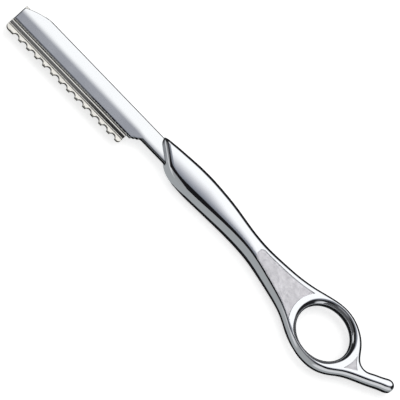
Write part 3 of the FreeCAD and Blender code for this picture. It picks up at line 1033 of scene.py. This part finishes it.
def paper():
    """Matte white paper. For the camera it adds light of its own, so that it reaches white."""
    material, tree, place = new_material("paper_sheet_matte")
    shade = drawn_out(tree, noise(tree, place, paper_fibre, 3.0), 0.985, 1.015, 0.0, 1.0)
    sheet = add_node(tree, "ShaderNodeBsdfDiffuse", {"Color": tinted(tree, linear("E7E7E7"), shade)})
    path = add_node(tree, "ShaderNodeLightPath").outputs
    glow = emission(tree, white, calculate(tree, "MULTIPLY", path["Is Camera Ray"], paper_glow))
    both = add_node(tree, "ShaderNodeAddShader", {0: sheet, 1: glow})
    # In the metal the paper shows evenly.
    even = emission(tree, rgba(paper_in_mirrors))
    show(tree, add_node(tree, "ShaderNodeMixShader", {0: path["Is Glossy Ray"], 1: both, 2: even}))
    return material


def tent_cloth():
    """Cloth that is white behind and above, grey in front, and black low behind and at both sides."""
    material, tree, place = new_material("tent_cloth")
    toward = add_node(tree, "ShaderNodeVectorMath", {0: place}, operation="NORMALIZE")
    parts = add_node(tree, "ShaderNodeSeparateXYZ", {"Vector": toward}).outputs
    angle = calculate(tree, "ARCTAN2", calculate(tree, "MULTIPLY", parts["Y"], -1.0), parts["Z"])
    edge = eased(tree, calculate(tree, "ABSOLUTE", parts["X"]), tent_side_from, tent_side_to)
    middle, sides = (ramp(tree, angle, rows) for rows in (tent_middle_rows, tent_side_rows))
    cloth = add_node(tree, "ShaderNodeMix", {0: edge, 6: middle, 7: sides}, data_type="RGBA")
    show(tree, emission(tree, cloth.outputs[2], 2.0))
    return material


def build_tent(floor_level):
    """A dome of cloth round the razor, down to the floor."""
    spots = [(0.0, 0.0, tent_radius)]
    for row in range(1, tent_levels + 1):
        turn = math.pi / 2 * row / tent_levels
        height = tent_radius * math.cos(turn) if row < tent_levels else floor_level
        spots += [(x, y, height) for x, y in circle(tent_radius * math.sin(turn), turns(tent_columns))]
    faces = [(0, 1 + i, 1 + (i + 1) % tent_columns) for i in range(tent_columns)]
    for first in range(1, 1 + (tent_levels - 1) * tent_columns, tent_columns):
        second = first + tent_columns
        faces += [(first + i, second + i, second + (i + 1) % tent_columns, first + (i + 1) % tent_columns)
                  for i in range(tent_columns)]
    stage_piece("tent", spots, faces, tent_cloth())


def flat_cloth(name, colour):
    """Cloth or painted card that shows one even colour in the metal."""
    material, tree, _ = new_material(name)
    show(tree, emission(tree, rgba(colour)))
    return material


def fading_card():
    """Black painted card that thins out to nothing along the razor."""
    material, tree, place = new_material("card_painted_black")
    along = add_node(tree, "ShaderNodeSeparateXYZ", {"Vector": place})
    thin = eased(tree, along, *(x * MM for x in near_card_fade))
    paint, clear = emission(tree, rgba(black_paint)), add_node(tree, "ShaderNodeBsdfTransparent")
    show(tree, add_node(tree, "ShaderNodeMixShader", {0: thin, 1: paint, 2: clear}))
    return material


def build_cards(floor_level, crease_rounding):
    """The cards above the razor and the cloths on the floor, which draw the dark lines in the metal. Those
    under the lower edge and in the ring are painted shade.
    """
    # Close above the grip, for the line along its crease. It thins out towards the ring.
    plate("near_card", near_card_outline, card_height, fading_card())
    # Behind the spine, for the line along it, and above the tang.
    black = flat_cloth("black_flag_and_shade_cloth", black_paint)
    level = floor_level + cloth_lift
    far = [(x, floor_cloth_end) for x, _ in floor_cloth_rows]
    strip("floor_cloth", floor_cloth_rows, far, level, black)
    plate("tang_card", tang_card_outline, card_height, black)
    # Along the lower edge, for the line under the razor: painted shade, a black cloth where the floor under
    # the razor lies in its shade.
    line, _ = grip_contour(crease_rounding)
    edge = line[int(np.argmax(line[:, 0])):]
    edge = edge[edge[:, 0] > front_shade_cloth_rows[0][0]]
    reach = np.interp(edge[:, 0], *zip(*front_shade_cloth_rows))[:, None]
    side = inward(edge)
    strip("front_shade_cloth", edge - side * reach, edge + side * front_shade_cloth_under, level, black)
    # Inside the ring, and upright in it, for the dark parts of the bore: painted shade, a black cloth and a
    # grey card where the ring shades the floor inside it.
    plate("bore_shade_cloth", circle(bore_shade_cloth_radius, turns(bore_shade_cloth_points)), level, black)
    grey = flat_cloth("grey_card_painted_shade", shade_card_grey)
    stage_piece("ring_shade_card", ring_shade_card_outline, [(0, 1, 2, 3)], grey)


def light_paper(power):
    """The large soft light behind the spine, from low to high, which lights the paper."""
    lamp = bpy.data.lights.new("soft_key", "AREA")
    lamp.shape = "RECTANGLE"
    lamp.size, lamp.size_y = (size * MM for size in lamp_size)
    lamp.energy = power
    lean = math.radians(lamp_lean)
    key = placed("soft_key", lamp)
    key.location = Vector((lamp_along, -lamp_distance * math.sin(lean), lamp_distance * math.cos(lean)))
    key.location *= MM
    key.rotation_euler = (lean, 0, 0)
    key.visible_camera = key.visible_glossy = False


def set_world(scene, strength):
    """Even light from all round, and white for the camera and in what it sees mirrored."""
    scene.world = bpy.data.worlds.new("studio")
    scene.world.use_nodes = True
    tree = scene.world.node_tree
    tree.nodes.clear()
    around, shown = (add_node(tree, "ShaderNodeBackground", {"Color": white, "Strength": value})
                     for value in (strength, 1.0))
    path = add_node(tree, "ShaderNodeLightPath").outputs
    mirrored = calculate(tree, "MAXIMUM", path["Is Glossy Ray"], path["Is Transmission Ray"])
    seen = calculate(tree, "MAXIMUM", path["Is Camera Ray"], mirrored)
    mix = add_node(tree, "ShaderNodeMixShader", {0: seen, 1: around, 2: shown})
    add_node(tree, "ShaderNodeOutputWorld", {"Surface": mix})


def set_camera(scene, tilt, roll, frame_width):
    """The camera far off in front of and above the razor, which lies aslant in the picture."""
    along = Vector((1, 0, 0))
    across = Vector((0, math.cos(tilt), math.sin(tilt)))
    right = along * math.cos(roll) + across * math.sin(roll)
    up = across * math.cos(roll) - along * math.sin(roll)
    back_way = right.cross(up)
    data = bpy.data.cameras.new("camera")
    data.lens, data.sensor_width, data.clip_end = lens, sensor, 20
    camera = placed("camera", data)
    place = Matrix((right, up, back_way)).transposed().to_4x4()
    place.translation = Vector(view_centre) * MM + back_way * (frame_width * lens / sensor)
    camera.matrix_world = place
    scene.camera = camera


# Operators

class RazorGripBuild(bpy.types.Operator):
    """Build the polished grip with its ring, tang and matte panels"""
    bl_idname = "razor.build_grip"
    bl_label = "Grip"

    def execute(self, context):
        settings = context.scene.razor_grip
        # Chrome plated over a buffed casting: mirror bright, with a slight haze where the wheel passed.
        chrome = metal("chrome_plated_buffed", tuple(settings.chrome), 0.07, haze=0.015)
        # The same plating over a bead-blasted ground: pale, matte and finely mottled.
        matte = metal("chrome_over_bead_blast", tuple(settings.matte), 0.38, haze=0.05, haze_mm=2.0,
                      grain_mm=0.35, grain_depth_mm=0.05, mottle=0.09)
        grip = build_grip("grip", settings, [chrome, matte])
        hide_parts("handle_body")
        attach(grip, "razor")
        return {"FINISHED"}


class RazorHolderBuild(bpy.types.Operator):
    """Build the folded blade holder and finish its liner and pins"""
    bl_idname = "razor.build_holder"
    bl_label = "Blade holder"

    def execute(self, context):
        settings = context.scene.razor_holder
        # Stainless sheet, polished after folding: bright, a touch softer than the plated grip.
        sheet = metal("stainless_sheet_polished", tuple(settings.sheet_colour), 0.09, haze=0.02)
        # Its cut edges, left as the press sheared them: dull, and painted near black as shade, which draws
        # the dark gap line between the leaves and the guard.
        cut = metal("stainless_sheared_and_painted_shade", linear("1E1F21"), 0.45, haze=0.06,
                    grain_mm=0.2, grain_depth_mm=0.005)
        holder = build_holder("folded_holder", settings, [sheet, cut])
        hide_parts("blade_holder")
        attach(holder, "razor")
        # Rolled strip left as it came from the mill: grey, with fine lines along its length, and darkened
        # as painted shade for the liner's recess between the leaves; the pins get it too.
        mill_and_shade_finish = metal("stainless_mill_strip_painted_shade", tuple(settings.liner_shaded_colour), 0.32, haze=0.05,
                           line_mm=0.3, line_depth_mm=0.004)
        for node in ("neck_liner", "anchor_pins"):
            refinish(node, mill_and_shade_finish)
        return {"FINISHED"}


class RazorCartridgeBuild(bpy.types.Operator):
    """Finish the guarded blade that slides in the holder"""
    bl_idname = "razor.build_cartridge"
    bl_label = "Guarded blade"

    def execute(self, context):
        settings = context.scene.razor_cartridge
        # Guard: thin rolled stainless strip with a satin skin, warm beside the chrome.
        skin = metal("stainless_strip_satin", tuple(settings.guard_colour), 0.21, haze=0.03, haze_mm=3.0,
                     line_mm=0.35, line_depth_mm=0.0013)
        # Blade: hardened carbon steel, ground along its length.
        ground = metal("carbon_steel_ground", tuple(settings.blade_colour), 0.3, haze=0.04,
                       line_mm=0.25, line_depth_mm=0.004)
        # The guard's own cut edges: brown-grey and dull.
        cut = metal("stainless_strip_sheared", linear("8A867F"), 0.42, haze=0.06,
                    grain_mm=0.2, grain_depth_mm=0.007)
        guard = build_guard("toothed_guard", [skin, cut])
        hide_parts("guard_comb")
        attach(guard, "cartridge")
        refinish("blade", ground)
        return {"FINISHED"}


class RazorStageBuild(bpy.types.Operator):
    """Set up the floor, the soft lights, the cards and the camera"""
    bl_idname = "razor.build_stage"
    bl_label = "Stage"

    def execute(self, context):
        scene = context.scene
        settings = scene.razor_stage
        scene.view_settings.view_transform = "Standard"
        floor_level = -grip_thickness / 2
        corners = [(x * paper_reach, y * paper_reach) for x, y in ((-1, -1), (1, -1), (1, 1), (-1, 1))]
        plate("floor", corners, floor_level, paper(), mirrors_only=False)
        build_tent(floor_level)
        build_cards(floor_level, scene.razor_grip.crease_rounding / MM)
        light_paper(settings.key_power)
        set_world(scene, settings.room_light)
        set_camera(scene, settings.view_tilt, settings.view_roll, settings.frame_width)
        return {"FINISHED"}


class RazorPanel(bpy.types.Panel):
    """The razor's pieces and their settings"""
    bl_idname = "VIEW3D_PT_razor"
    bl_label = "Hair styling razor"
    bl_space_type = "VIEW_3D"
    bl_region_type = "UI"
    bl_category = "Razor"

    def draw(self, context):
        layout = self.layout
        for operator, group in zip(operators, groups):
            box = layout.box()
            box.operator(operator.bl_idname)
            settings = getattr(context.scene, group)
            for name in settings.__annotations__:
                box.prop(settings, name)


groups = {
    "razor_grip": RazorGripSettings,
    "razor_holder": RazorHolderSettings,
    "razor_cartridge": RazorCartridgeSettings,
    "razor_stage": RazorStageSettings,
}
operators = (RazorGripBuild, RazorHolderBuild, RazorCartridgeBuild, RazorStageBuild)


def register():
    for item in (*groups.values(), *operators, RazorPanel):
        bpy.utils.register_class(item)
    for name, group in groups.items():
        setattr(bpy.types.Scene, name, PointerProperty(type=group))


def unregister():
    for name in groups:
        delattr(bpy.types.Scene, name)
    for item in reversed((*groups.values(), *operators, RazorPanel)):
        bpy.utils.unregister_class(item)


def main():
    """Builds the pieces and the stage."""
    register()
    bpy.ops.razor.build_grip()
    bpy.ops.razor.build_holder()
    bpy.ops.razor.build_cartridge()
    bpy.ops.razor.build_stage()


if __name__ == "__main__":
    main()
